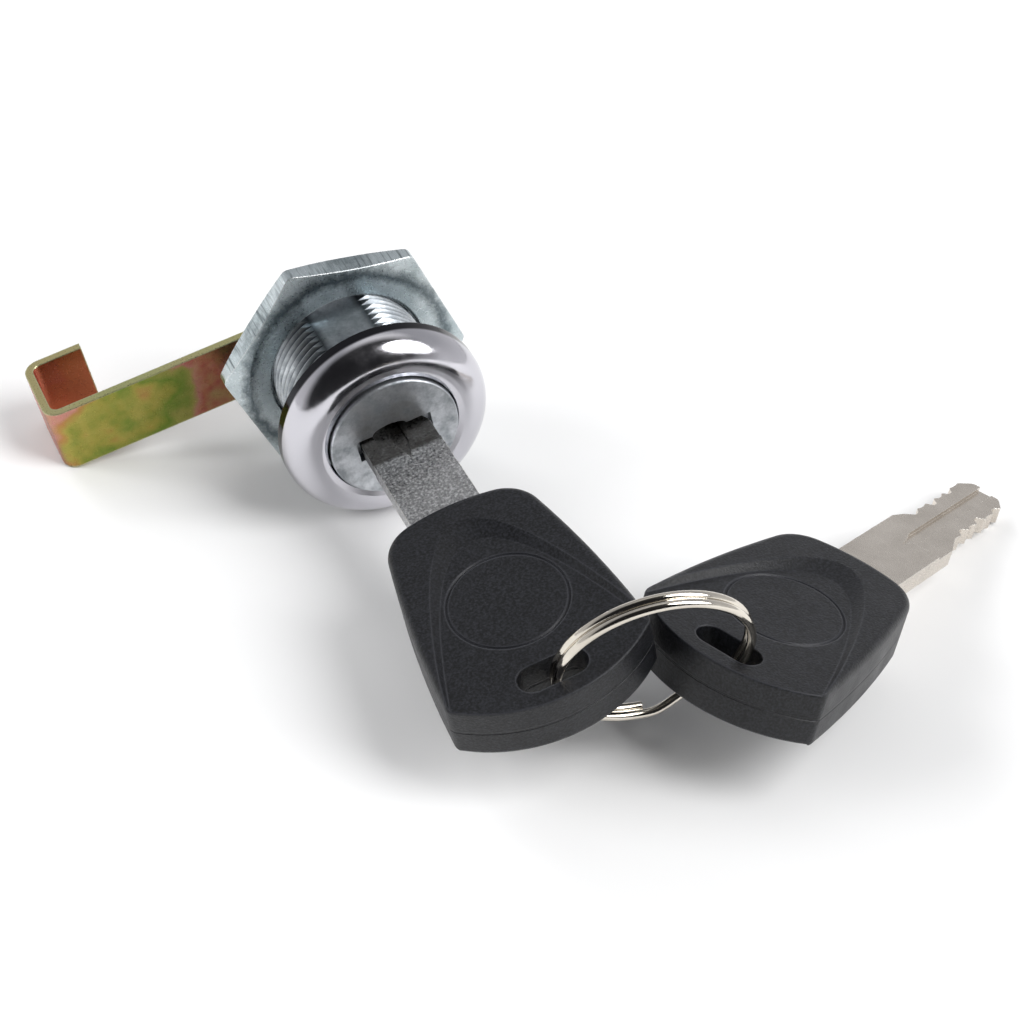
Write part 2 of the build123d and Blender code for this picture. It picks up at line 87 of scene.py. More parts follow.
def linear(hex_colour: str) -> tuple[float, float, float, float]:
    """Turn an sRGB hex colour into the linear RGBA that shader sockets take.

    Args:
        hex_colour: Colour as "#rrggbb".

    Returns:
        Linear red, green, blue and an alpha of 1.
    """
    channels = [int(hex_colour[i : i + 2], 16) / 255 for i in (1, 3, 5)]
    curve = [c / 12.92 if c <= 0.04045 else ((c + 0.055) / 1.055) ** 2.4 for c in channels]
    return (curve[0], curve[1], curve[2], 1.0)


def fill_sockets(tree: Tree, node: bpy.types.Node, inputs: Sockets) -> None:
    """Set or link a node's input sockets.

    Args:
        tree: Node tree of the node.
        node: Node whose sockets are filled.
        inputs: Value, hex colour or output socket for each input socket, by name or number.
    """
    for socket, value in inputs.items():
        if isinstance(value, Socket):
            tree.links.new(value, node.inputs[socket])
        else:
            node.inputs[socket].default_value = linear(value) if isinstance(value, str) else value


def add_node(
    tree: Tree,
    kind: str,
    settings: dict[str, Any] | None = None,
    inputs: Sockets | tuple[Any, ...] = (),
    stops: tuple[tuple[float, str], ...] = (),
    output: str | int = 0,
) -> Socket:
    """Add one node to a tree, with its settings and its links.

    Args:
        tree: Node tree that gets the node.
        kind: Node type without its prefix, such as "TexNoise".
        settings: Properties to set on the node.
        inputs: What fills the sockets, by name or number, or a tuple that fills the first ones in order.
        stops: For a colour ramp, the position and hex colour of each stop, in rising order.
        output: The output to return, by name or number.

    Returns:
        That output socket.
    """
    node = tree.nodes.new(f"ShaderNode{kind}")
    for name, value in (settings or {}).items():
        setattr(node, name, value)
    fill_sockets(tree, node, inputs if isinstance(inputs, dict) else dict(enumerate(inputs)))
    if stops:
        elements = node.color_ramp.elements
        elements.remove(elements[-1])
        elements[0].position = stops[0][0]
        elements[0].color = linear(stops[0][1])
        for position, colour in stops[1:]:
            elements.new(position).color = linear(colour)
    return node.outputs[output]


def distance_from_axis(tree: Tree, place: Socket) -> Socket:
    """Distance of the shaded point from the lock's axis, which is the Y axis.

    Args:
        tree: Node tree of the material.
        place: Object coordinates.

    Returns:
        The distance in metres.
    """
    across = add_node(tree, "SeparateXYZ", inputs=(place,), output=Axis3.X.value)
    up = add_node(tree, "SeparateXYZ", inputs=(place,), output=Axis3.Z.value)
    flat = add_node(tree, "CombineXYZ", inputs={"X": across, "Z": up})
    return add_node(tree, "VectorMath", {"operation": "LENGTH"}, (flat,), output="Value")


@dataclass(frozen=True)
class Mottle:
    """A noise pattern: how far apart its lumps are, and its finer octaves."""

    size_mm: float
    detail: float = 3.0
    rough: float = 0.55

    def at(self, place: Socket) -> Sockets:
        """What fills a noise texture's sockets to draw this pattern.

        Args:
            place: Coordinates that the pattern lies on.

        Returns:
            The sockets' values, with the scale worked out from the size.
        """
        scale = 1 / (self.size_mm * MM)
        return {"Vector": place, "Scale": scale, "Detail": self.detail, "Roughness": self.rough}


@dataclass(frozen=True)
class Relief:
    """How deep a pattern is on the real surface, and what share of that shows."""

    depth_mm: float
    strength: float

    def over(self, under: Socket, height: Socket) -> Sockets:
        """What fills a bump's sockets to raise a pattern.

        Args:
            under: Normal that the pattern is raised from.
            height: Height pattern, 0 to 1.

        Returns:
            The sockets' values.
        """
        return {"Height": height, "Strength": self.strength, "Distance": self.depth_mm * MM, "Normal": under}


@dataclass(frozen=True)
class Placing:
    """Where a pattern's own axes lie on a piece."""

    centre: tuple[float, float, float] = (0.0, 0.0, 0.0)
    turn: tuple[float, float, float] = (0.0, 0.0, 0.0)

    def coordinates(self, tree: Tree) -> Socket:
        """Object coordinates moved and turned so that the pattern's centre is the origin.

        Args:
            tree: Node tree of the material.

        Returns:
            The vector output to feed textures with.
        """
        place = add_node(tree, "TexCoord", output="Object")
        if self == Placing():
            return place
        moved = {"Vector": place, "Location": self.centre, "Rotation": self.turn}
        return add_node(tree, "Mapping", {"vector_type": "TEXTURE"}, moved)


@dataclass(frozen=True)
class Finish:
    """A surface finish; each subclass paints its own nodes in shade().

    smoothest and roughest are the shares of its roughness between which it varies.
    """

    name: str
    placing: Placing = Placing()
    roughness: float = 0.3
    smoothest: float = 0.75
    roughest: float = 1.3

    def shade(self, tree: Tree, shader: bpy.types.Node) -> None:
        """Add this finish's nodes to the tree and link them to the shader."""
        raise NotImplementedError

    def material(self) -> bpy.types.Material:
        """Make the material of this finish, or return it if it is made already.

        Returns:
            The material.
        """
        made = bpy.data.materials.get(self.name)
        if made:
            return made
        material = bpy.data.materials.new(self.name)
        material.use_nodes = True
        self.shade(material.node_tree, material.node_tree.nodes["Principled BSDF"])
        return material

    def roughness_range(self) -> tuple[float, float]:
        """Roughness where the surface is smoothest and where it is roughest."""
        return self.roughness * self.smoothest, self.roughness * self.roughest

    @staticmethod
    def edges(tree: Tree, radius_mm: float) -> tuple[Socket, Socket]:
        """Soften the shading of sharp edges, and find them.

        Args:
            tree: Node tree of the material.
            radius_mm: How far from an edge it is seen as worn round.

        Returns:
            The softened normal, and a mask that is 1 on edges.
        """
        soft = add_node(tree, "Bevel", {"samples": EDGE_SAMPLES}, {"Radius": radius_mm * MM})
        flat = add_node(tree, "NewGeometry", output="Normal")
        match = add_node(tree, "VectorMath", {"operation": "DOT_PRODUCT"}, (soft, flat), output="Value")
        return soft, add_node(tree, "MapRange", inputs=(match, EDGE_START, EDGE_END, 0.0, 1.0))

    @staticmethod
    def paint_over(tree: Tree, shader: bpy.types.Node, amount: Socket, colour: str) -> None:
        """Lay one more colour over the shader's base colour.

        Args:
            tree: Node tree of the material.
            shader: Shader whose base colour is linked already.
            amount: How much of the new colour shows, 0 to 1.
            colour: The new colour, as hex.
        """
        painted = shader.inputs["Base Color"].links[0].from_socket
        covered = add_node(tree, "Mix", RGBA, {0: amount, FIRST: painted, SECOND: colour}, output=BLEND)
        fill_sockets(tree, shader, {"Base Color": covered})


@dataclass(frozen=True)
class PolishedChrome(Finish):
    """Bright chromium plate on pressed and buffed steel: a near mirror, with a breath of buffing haze.

    The skirt that lies against the panel is painted dark: a painted shadow and dark reflection under the
    dome's rim.
    """

    colour: str = "#cfced4"
    # Colour of the painted shadow and dark reflection on the skirt
    painted_rim_shade: str = "#2b2b2f"
    skirt_mm: float = 1.3
    skirt_blur_mm: float = 0.15
    edge_mm: float = 0.15
    roughness: float = 0.12
    smoothest: float = 0.6
    roughest: float = 1.8
    haze: Mottle = Mottle(3.0, 5.0, 0.7)
    ripple: Mottle = Mottle(4.0, 1.0)
    ripple_relief: Relief = Relief(0.05, 0.35)

    def shade(self, tree: Tree, shader: bpy.types.Node) -> None:
        """Mirror metal whose gloss and flatness drift a little, with a painted shadow and dark reflection on
        its skirt.

        Args:
            tree: Node tree of the material.
            shader: Its Principled BSDF.
        """
        add = partial(add_node, tree)
        place = self.placing.coordinates(tree)
        depth = add("SeparateXYZ", inputs=(place,), output=Axis3.Y.value)
        # Painted shade: the skirt gets a dark colour that stands for shadow and a dark reflection
        skirt_start = -(self.skirt_mm + self.skirt_blur_mm) * MM
        skirt_end = -(self.skirt_mm - self.skirt_blur_mm) * MM
        skirt = add("MapRange", inputs=(depth, skirt_start, skirt_end, 0.0, 1.0))
        haze = add("TexNoise", inputs=self.haze.at(place))
        gloss = (haze, NOISE_LOW, NOISE_HIGH, *self.roughness_range())
        soft, _ = self.edges(tree, self.edge_mm)
        ripple = add("TexNoise", inputs=self.ripple.at(place))
        look = {
            "Metallic": 1.0,
            "Base Color": add("Mix", RGBA, {0: skirt, FIRST: self.colour, SECOND: self.painted_rim_shade}, output=BLEND),
            "Roughness": add("MapRange", inputs=gloss),
            "Normal": add("Bump", inputs=self.ripple_relief.over(soft, ripple)),
        }
        fill_sockets(tree, shader, look)


@dataclass(frozen=True)
class CastZinc(Finish):
    """Zinc alloy as it leaves the die, lightly tumbled: satin blue-grey, cloudy, with edges painted bright,
    partly rub wear and partly painted highlight.

    A real cast grain is finer than 0.1 mm; it is drawn coarser so that it shows.
    """

    light: str = "#bcc1c6"
    dark: str = "#70767c"
    # Edge colour: partly rub wear, partly a painted highlight
    rubbed: str = "#dde0e3"
    roughness: float = 0.36
    edge_mm: float = 0.12
    cloud: Mottle = Mottle(2.2, 7.0, 0.68)
    cloud_low: float = 0.36
    cloud_high: float = 0.64
    cloud_relief: Relief = Relief(0.06, 0.35)
    grain: Mottle = Mottle(0.22)
    grain_relief: Relief = Relief(0.02, 0.5)

    def shade(self, tree: Tree, shader: bpy.types.Node) -> None:
        """Cloudy metal colour, uneven gloss, fine cast grain, and edges painted bright as rub wear and
        painted highlight.

        Args:
            tree: Node tree of the material.
            shader: Its Principled BSDF.
        """
        add = partial(add_node, tree)
        place = self.placing.coordinates(tree)
        cloud = add("TexNoise", inputs=self.cloud.at(place))
        grain = add("TexNoise", inputs=self.grain.at(place))
        soft, edge = self.edges(tree, self.edge_mm)
        pale = add("MapRange", inputs=(cloud, self.cloud_low, self.cloud_high, 0.0, 1.0))
        smooth, rough = self.roughness_range()
        gloss = (cloud, self.cloud_low, self.cloud_high, rough, smooth)
        lumps = add("Bump", inputs=self.cloud_relief.over(soft, cloud))
        look = {
            "Metallic": 1.0,
            "Base Color": add("Mix", RGBA, {0: pale, FIRST: self.dark, SECOND: self.light}, output=BLEND),
            "Roughness": add("MapRange", inputs=gloss),
            "Normal": add("Bump", inputs=self.grain_relief.over(lumps, grain)),
        }
        fill_sockets(tree, shader, look)
        # Edges painted bright: partly rub wear, partly a painted highlight
        self.paint_over(tree, shader, edge, self.rubbed)


@dataclass(frozen=True)
class ThreadedZinc(CastZinc):
    """The same casting with a cut thread: painted shade darkens the roots, and the crests stay bright."""

    root_mm: float = 9.0
    crest_mm: float = 9.5
    clean_crest_mm: float = 0.1
    root_reach_mm: float = 0.3
    # Colour of the painted shade in the thread roots
    root: str = "#54595e"

    def shade(self, tree: Tree, shader: bpy.types.Node) -> None:
        """Casting with painted shade in the thread roots, placed by the distance from the lock's axis.

        Args:
            tree: Node tree of the material.
            shader: Its Principled BSDF.
        """
        super().shade(tree, shader)
        add = partial(add_node, tree)
        radius = distance_from_axis(tree, self.placing.coordinates(tree))
        root = self.root_mm * MM
        below_crest = (radius, root, (self.crest_mm - self.clean_crest_mm) * MM, 1.0, 0.0)
        above_core = (radius, (self.root_mm - self.root_reach_mm) * MM, root, 0.0, 1.0)
        root_shade_masks = (add("MapRange", inputs=below_crest), add("MapRange", inputs=above_core))
        # Painted shade: the thread roots are darkened
        self.paint_over(tree, shader, add("Math", {"operation": "MULTIPLY"}, root_shade_masks), self.root)


@dataclass(frozen=True)
class ZincPlate(Finish):
    """Blue-white zinc plate over sheared and turned steel: pale, with torn lines across its flanks."""

    light: str = "#d3dbde"
    dark: str = "#97a5a8"
    # Edge colour: a painted highlight
    edge: str = "#f0f3f4"
    torn: str = "#5b666b"
    edge_mm: float = 0.22
    cloud: Mottle = Mottle(3.5, 5.0, 0.6)
    cloud_low: float = 0.38
    cloud_high: float = 0.62
    cloud_relief: Relief = Relief(0.08, 0.3)
    lines: Mottle = Mottle(0.3, 3.0, 0.6)
    lines_relief: Relief = Relief(0.03, 0.6)
    lines_stretch: float = 0.06
    flank_to_front: tuple[float, float] = (0.4, 0.7)
    torn_range: tuple[float, float] = (0.5, 0.7)
    torn_amount: float = 0.8

    def shade(self, tree: Tree, shader: bpy.types.Node) -> None:
        """Pale cloudy plate, edges painted bright as a highlight, and shear lines that run along the lock's
        axis.

        Args:
            tree: Node tree of the material.
            shader: Its Principled BSDF.
        """
        add = partial(add_node, tree)
        place = self.placing.coordinates(tree)
        cloud = add("TexNoise", inputs=self.cloud.at(place))
        soft, edge = self.edges(tree, self.edge_mm)
        pale = add("MapRange", inputs=(cloud, self.cloud_low, self.cloud_high, 0.0, 1.0))
        drawn = add("Mapping", inputs={"Vector": place, "Scale": (1.0, self.lines_stretch, 1.0)})
        lines = add("TexNoise", inputs=self.lines.at(drawn))
        gloss = (lines, NOISE_LOW, NOISE_HIGH, *self.roughness_range())
        waves = add("Bump", inputs=self.cloud_relief.over(soft, cloud))
        look = {
            "Metallic": 1.0,
            "Base Color": add("Mix", RGBA, {0: pale, FIRST: self.dark, SECOND: self.light}, output=BLEND),
            "Roughness": add("MapRange", inputs=gloss),
            "Normal": add("Bump", inputs=self.lines_relief.over(waves, lines)),
        }
        fill_sockets(tree, shader, look)
        # Painted highlight: the edges are painted bright
        self.paint_over(tree, shader, edge, self.edge)
        facing = add("NewGeometry", output="Normal")
        along = add("SeparateXYZ", inputs=(facing,), output=Axis3.Y.value)
        front = add("Math", {"operation": "ABSOLUTE"}, (along,))
        flank = add("MapRange", inputs=(front, *self.flank_to_front, 1.0, 0.0))
        dark_lines = add("MapRange", inputs=(lines, *self.torn_range, 0.0, self.torn_amount))
        torn = add("Math", {"operation": "MULTIPLY"}, (flank, dark_lines))
        self.paint_over(tree, shader, torn, self.torn)


@dataclass(frozen=True)
class TurnedZincPlate(ZincPlate):
    """The same plate on a nut whose corners were turned down: the turning leaves a dark rough band."""

    band_mm: float = 12.7
    band_half_mm: float = 1.2
    band_core_mm: float = 0.12
    band_amount: float = 0.8
    band: str = "#47545a"
    wander: Mottle = Mottle(1.2, 5.0, 0.7)
    wander_mm: float = 0.45

    def shade(self, tree: Tree, shader: bpy.types.Node) -> None:
        """Plate with a broken dark band around the lock's axis.

        Args:
            tree: Node tree of the material.
            shader: Its Principled BSDF.
        """
        super().shade(tree, shader)
        add = partial(add_node, tree)
        place = self.placing.coordinates(tree)
        noise = add("TexNoise", inputs=self.wander.at(place))
        far = self.wander_mm * MM
        wander = add("MapRange", inputs=(noise, NOISE_LOW, NOISE_HIGH, -far, far))
        radius = add("Math", {"operation": "ADD"}, (distance_from_axis(tree, place), wander))
        beyond = add("Math", {"operation": "SUBTRACT"}, (radius, self.band_mm * MM))
        away = add("Math", {"operation": "ABSOLUTE"}, (beyond,))
        band = (away, self.band_core_mm * MM, self.band_half_mm * MM, self.band_amount, 0.0)
        self.paint_over(tree, shader, add("MapRange", inputs=band), self.band)


@dataclass(frozen=True)
class NickelPlate(Finish):
    """Nickel plate on stamped and barrel-polished metal: warm grey, satin to bright.

    Real polishing grain is a few hundredths of a millimetre; it is drawn coarser so that it shows.
    """

    light: str = "#c4beb5"
    dark: str = "#9b958d"
    # Edge colour: a painted highlight
    edge: str = "#eeeae4"
    roughness: float = 0.24
    smoothest: float = 0.7
    roughest: float = 1.4
    edge_mm: float = 0.15
    tarnish: Mottle = Mottle(5.0, 5.0, 0.6)
    grain: Mottle = Mottle(0.2, 2.0)
    grain_relief: Relief = Relief(0.02, 0.3)

    def shade(self, tree: Tree, shader: bpy.types.Node) -> None:
        """Warm metal with faint tarnish, a fine grain and edges painted bright as a highlight.

        Args:
            tree: Node tree of the material.
            shader: Its Principled BSDF.
        """
        add = partial(add_node, tree)
        place = self.placing.coordinates(tree)
        tarnish = add("TexNoise", inputs=self.tarnish.at(place))
        clean = add("MapRange", inputs=(tarnish, NOISE_LOW, NOISE_HIGH, 0.0, 1.0))
        grain = add("TexNoise", inputs=self.grain.at(place))
        gloss = (grain, NOISE_LOW, NOISE_HIGH, *self.roughness_range())
        soft, edge = self.edges(tree, self.edge_mm)
        look = {
            "Metallic": 1.0,
            "Base Color": add("Mix", RGBA, {0: clean, FIRST: self.dark, SECOND: self.light}, output=BLEND),
            "Roughness": add("MapRange", inputs=gloss),
            "Normal": add("Bump", inputs=self.grain_relief.over(soft, grain)),
        }
        fill_sockets(tree, shader, look)
        # Painted highlight: the edges are painted bright
        self.paint_over(tree, shader, edge, self.edge)


@dataclass(frozen=True)
class BlastedNickel(NickelPlate):
    """Nickel over a blasted blade: sandy, with painted glints as bright specks, but dark and smooth where the
    plug rubs it.
    """

    # Colour of the painted glints that stand for the blasted surface's sparkle
    painted_glint: str = "#f4f4f4"
    painted_glint_range: tuple[float, float] = (0.48, 0.66)
    painted_glint_amount: float = 0.8
    rubbed: str = "#5d5a56"
    rubbed_from_mm: float = -9.2
    rubbed_blur_mm: float = 0.3
    streak: Mottle = Mottle(1.5, 4.0)
    streak_amounts: tuple[float, float] = (0.75, 1.0)

    def shade(self, tree: Tree, shader: bpy.types.Node) -> None:
        """Nickel with bright specks of painted glint, up to a line across the blade beyond which it is dark
        and smooth.

        Args:
            tree: Node tree of the material.
            shader: Its Principled BSDF.
        """
        super().shade(tree, shader)
        add = partial(add_node, tree)
        place = self.placing.coordinates(tree)
        grain = add("TexNoise", inputs=self.grain.at(place))
        specks = add("MapRange", inputs=(grain, *self.painted_glint_range, 0.0, self.painted_glint_amount))
        # Painted highlight: bright specks stand for glints
        self.paint_over(tree, shader, specks, self.painted_glint)
        along = add("SeparateXYZ", inputs=(place,), output=Axis3.Y.value)
        start = self.rubbed_from_mm * MM
        blur = self.rubbed_blur_mm * MM
        slid = add("MapRange", inputs=(along, start - blur, start + blur, 0.0, 1.0))
        noise = add("TexNoise", inputs=self.streak.at(place))
        streak = add("MapRange", inputs=(noise, NOISE_LOW, NOISE_HIGH, *self.streak_amounts))
        self.paint_over(tree, shader, add("Math", {"operation": "MULTIPLY"}, (slid, streak)), self.rubbed)


@dataclass(frozen=True)
class YellowChromate(Finish):
    """Yellow chromate over zinc plate on bent strip steel.

    The film is thinner and thicker by turns, so its colour drifts from rose through gold to green along
    the strip; the cut sides and edges are pale lemon, partly the film's colour and partly painted light.
    """

    film: tuple[tuple[float, str], ...] = (
        (0.25, "#a2815c"),
        (0.40, "#a5564f"),
        (0.50, "#b3766c"),
        (0.57, "#94904e"),
        (0.72, "#6c8236"),
        (0.84, "#9b9247"),
        (0.93, "#a97a4a"),
        (1.0, "#bd8478"),
    )
    veil: str = "#b9ab62"
    veil_range: tuple[float, float] = (0.4, 0.7)
    veil_amount: float = 0.35
    lip: str = "#d06e54"
    lip_amount: float = 0.85
    # Cut sides' colour: partly the film, partly painted light that makes them look lit
    sheared: str = "#dbdb9f"
    face_to_edge: tuple[float, float] = (0.6, 0.9)
    sheared_amount: float = 0.8
    # Edge colour: a painted highlight
    edge: str = "#e2e2b4"
    edge_mm: float = 0.3
    smoothest: float = 0.8
    reach_mm: float = 35.6
    lip_start_mm: float = 20.0
    lip_blur_mm: float = 1.0
    drift: Mottle = Mottle(9.0)
    clouds: Mottle = Mottle(3.0, 5.0, 0.65)
    grain: Mottle = Mottle(0.25)
    grain_relief: Relief = Relief(0.02, 0.3)

    def shade(self, tree: Tree, shader: bpy.types.Node) -> None:
        """Film colours along the strip, red-gold inside the hook, pale lemon on the cut sides and edges as
        film colour and painted light.

        Args:
            tree: Node tree of the material.
            shader: Its Principled BSDF.
        """
        add = partial(add_node, tree)
        place = self.placing.coordinates(tree)
        across = add("SeparateXYZ", inputs=(place,), output=Axis3.X.value)
        back = add("SeparateXYZ", inputs=(place,), output=Axis3.Y.value)
        drift = add("TexNoise", inputs=self.drift.at(place))
        far = self.drift.size_mm * MM
        wander = add("MapRange", inputs=(drift, NOISE_LOW, NOISE_HIGH, -far, far))
        along = add("Math", {"operation": "MULTIPLY_ADD"}, (across, -1.0, wander))
        share = add("MapRange", inputs=(along, 0.0, self.reach_mm * MM, 0.0, 1.0))
        clouds = add("TexNoise", inputs=self.clouds.at(place))
        veil = add("MapRange", inputs=(clouds, *self.veil_range, 0.0, self.veil_amount))
        lip_end = self.lip_start_mm * MM
        hook = add("MapRange", inputs=(back, lip_end - self.lip_blur_mm * MM, lip_end, 0.0, self.lip_amount))
        facing = add("NewGeometry", output="Normal")
        match = add("VectorMath", {"operation": "DOT_PRODUCT"}, (facing, tuple(LOCK_UP)), output="Value")
        up_or_down = add("Math", {"operation": "ABSOLUTE"}, (match,))
        sheared = add("MapRange", inputs=(up_or_down, *self.face_to_edge, 0.0, self.sheared_amount))
        soft, edge = self.edges(tree, self.edge_mm)
        grain = add("TexNoise", inputs=self.grain.at(place))
        gloss = (grain, NOISE_LOW, NOISE_HIGH, *self.roughness_range())
        look = {
            "Metallic": 1.0,
            "Base Color": add("ValToRGB", inputs=(share,), stops=self.film),
            "Roughness": add("MapRange", inputs=gloss),
            "Normal": add("Bump", inputs=self.grain_relief.over(soft, grain)),
        }
        fill_sockets(tree, shader, look)
        # Cut sides and edges painted pale: partly film colour, partly painted light and highlight
        layers = ((veil, self.veil), (hook, self.lip), (sheared, self.sheared), (edge, self.edge))
        for amount, colour in layers:
            self.paint_over(tree, shader, amount, colour)


@dataclass(frozen=True)
class MouldedBlack(Finish):
    """Black ABS moulded in a spark-eroded tool: matt, sandy, and a little lighter on the edges, partly where
    fingers rub them and partly as a painted highlight.

    The real sand is about 0.1 mm; it is drawn coarser so that it shows.
    """

    colour: str = "#07080a"
    # Colour of dust, and of the edges: partly wear, partly a painted highlight
    dust_and_edge_highlight: str = "#393a3f"
    speck: str = "#25262b"
    ior: float = 1.53
    roughness: float = 0.4
    smoothest: float = 0.85
    roughest: float = 1.15
    gloss_level: float = 0.36
    edge_mm: float = 0.35
    sand: Mottle = Mottle(0.27, 2.0, 0.6)
    sand_relief: Relief = Relief(0.05, 1.0)
    rub: Mottle = Mottle(4.0, 6.0, 0.7)
    dust_range: tuple[float, float] = (0.5, 0.75)
    dust_amount: float = 0.15
    speck_range: tuple[float, float] = (0.4, 0.72)
    line_half_mm: float = 0.1
    line_relief: Relief = Relief(0.15, 1.0)

    def shade(self, tree: Tree, shader: bpy.types.Node) -> None:
        """Dark plastic with a sandy grain, edges painted lighter as wear and highlight, and the parting line
        of its mould.

        Args:
            tree: Node tree of the material.
            shader: Its Principled BSDF.
        """
        add = partial(add_node, tree)
        place = self.placing.coordinates(tree)
        sand = add("TexNoise", inputs=self.sand.at(place))
        rub = add("TexNoise", inputs=self.rub.at(place))
        soft, edge = self.edges(tree, self.edge_mm)
        dust = add("MapRange", inputs=(rub, *self.dust_range, 0.0, self.dust_amount))
        specks = add("MapRange", inputs=(sand, *self.speck_range, 0.0, 1.0))
        smooth, rough = self.roughness_range()
        gloss = (rub, NOISE_LOW, NOISE_HIGH, rough, smooth)
        sandy = add("Bump", inputs=self.sand_relief.over(soft, sand))
        height = add("SeparateXYZ", inputs=(place,), output=Axis3.Z.value)
        away = add("Math", {"operation": "ABSOLUTE"}, (height,))
        step = add("MapRange", inputs=(away, self.line_half_mm * MM, 2 * self.line_half_mm * MM, 0.0, 1.0))
        look = {
            "IOR": self.ior,
            "Specular IOR Level": self.gloss_level,
            "Base Color": add("Mix", RGBA, {0: dust, FIRST: self.colour, SECOND: self.dust_and_edge_highlight}, output=BLEND),
            "Roughness": add("MapRange", inputs=gloss),
            "Normal": add("Bump", inputs=self.line_relief.over(sandy, step)),
        }
        fill_sockets(tree, shader, look)
        self.paint_over(tree, shader, specks, self.speck)
        # Edges painted lighter: partly finger wear, partly a painted highlight on the relief
        self.paint_over(tree, shader, edge, self.dust_and_edge_highlight)


@dataclass(frozen=True)
class SoftRubber(Finish):
    """Moulded nitrile rubber: dull black with a faint bloom."""

    colour: str = "#151515"
    bloomed: str = "#2a2a2a"
    ior: float = 1.52
    roughness: float = 0.65
    bloom: Mottle = Mottle(1.5, 4.0)

    def shade(self, tree: Tree, shader: bpy.types.Node) -> None:
        """Dull black with a cloudy bloom.

        Args:
            tree: Node tree of the material.
            shader: Its Principled BSDF.
        """
        bloom = add_node(tree, "TexNoise", inputs=self.bloom.at(self.placing.coordinates(tree)))
        colours = {0: bloom, FIRST: self.colour, SECOND: self.bloomed}
        look = {
            "IOR": self.ior,
            "Roughness": self.roughness,
            "Base Color": add_node(tree, "Mix", RGBA, colours, output=BLEND),
        }
        fill_sockets(tree, shader, look)


ON_LOCK = Placing(turn=(0.0, -LOCK_ROLL, 0.0))
ON_SPARE_KEY = Placing(centre=SPARE_ORIGIN, turn=(0.0, SPARE_DIP, SPARE_HEADING))

CHROME = PolishedChrome("polished_chrome_plate")
BARREL_ZINC = ThreadedZinc("die_cast_zinc_barrel", ON_LOCK, light="#ccd1d5", dark="#8f959b")
PLUG_ZINC = CastZinc("die_cast_zinc_plug", ON_LOCK, light="#d6d9dd", dark="#9ba0a5", roughness=0.4)
ZINC_PLATE = ZincPlate("blue_white_zinc_plate")
NUT_PLATE = TurnedZincPlate(
    "blue_white_zinc_plate_nut", light="#dbe4e7", dark="#bac6c9", cloud=Mottle(5.0, 5.0, 0.6)
)
CHROMATE = YellowChromate("yellow_chromate", ON_LOCK)
BLADE_NICKEL = BlastedNickel(
    "blasted_nickel_blade",
    light="#b0b0b0",
    dark="#969696",
    roughness=0.34,
    edge_mm=0.1,
    grain=Mottle(0.3, 2.0),
    grain_relief=Relief(0.02, 0.35),
)
SPARE_NICKEL = NickelPlate(
    "satin_nickel_blade", light="#e2dad0", dark="#cec6bc", edge_mm=0.08, grain_relief=Relief(0.02, 0.12)
)
RING_NICKEL = NickelPlate(
    "bright_nickel_wire", light="#e3ddd2", dark="#cfc8bc", roughness=0.09, grain_relief=Relief(0.02, 0.05)
)
BLACK_HEAD = MouldedBlack("black_abs_head", ON_LOCK)
BLACK_SPARE_HEAD = MouldedBlack("black_abs_spare_head", ON_SPARE_KEY)
RUBBER = SoftRubber("black_nitrile_rubber")
# The brass's edge colour is a painted highlight too
BRASS = NickelPlate("stamped_brass", light="#d3ae62", dark="#a5813f", edge="#e8cd8c", roughness=0.3)


@dataclass
class SubAssembly:
    """A group of CAD nodes of the lock, and the finish of each."""

    title: str
    finishes: dict[str, Finish]

    def dress(self, nodes: dict[str, bpy.types.Object]) -> None:
        """Give every node of the group its finish.

        Args:
            nodes: All CAD nodes by name.
        """
        for node, finish in self.finishes.items():
            piece = nodes[node]
            if not piece.material_slots:
                piece.data.materials.append(None)
            for slot in piece.material_slots:
                slot.material = finish.material()
            LOG.info("%s: %s in %s", self.title, node, finish.name)


@dataclass
class LockBody(SubAssembly):
    """Housing with its thread, the chromed cap over its flange and the rubber ring behind the plug's head."""

    title: str = "lock body"
    finishes: dict[str, Finish] = field(
        default_factory=lambda: {"housing": BARREL_ZINC, "bezel_cap": CHROME, "plug_seal": RUBBER}
    )


@dataclass
class PlugAndCam(SubAssembly):
    """Plug with the hooked cam and what fastens it."""

    title: str = "plug and cam"
    finishes: dict[str, Finish] = field(
        default_factory=lambda: {
            "plug": PLUG_ZINC,
            "stop_washer": ZINC_PLATE,
            "cam": CHROMATE,
            "cam_washer": ZINC_PLATE,
            "spring_washer": ZINC_PLATE,
            "cam_screw": ZINC_PLATE,
            "wafer_springs": RING_NICKEL,
        }
    )


@dataclass
class Wafers(SubAssembly):
    """The six brass wafers in the plug."""

    title: str = "wafers"
    count: int = 6
    finishes: dict[str, Finish] = field(init=False)

    def __post_init__(self) -> None:
        """Every wafer has the same finish."""
        self.finishes = {f"wafer_{number}": BRASS for number in range(1, self.count + 1)}


@dataclass
class Nut(SubAssembly):
    """Hex nut on the barrel."""

    title: str = "nut"
    finishes: dict[str, Finish] = field(default_factory=lambda: {"hex_nut": NUT_PLATE})


@dataclass
class Keys(SubAssembly):
    """The key in the lock, the spare key, and the ring that holds them."""

    title: str = "keys"
    finishes: dict[str, Finish] = field(
        default_factory=lambda: {
            "key_blade": BLADE_NICKEL,
            "key_head": BLACK_HEAD,
            "spare_key_blade": SPARE_NICKEL,
            "spare_key_head": BLACK_SPARE_HEAD,
            "split_ring": RING_NICKEL,
        }
    )


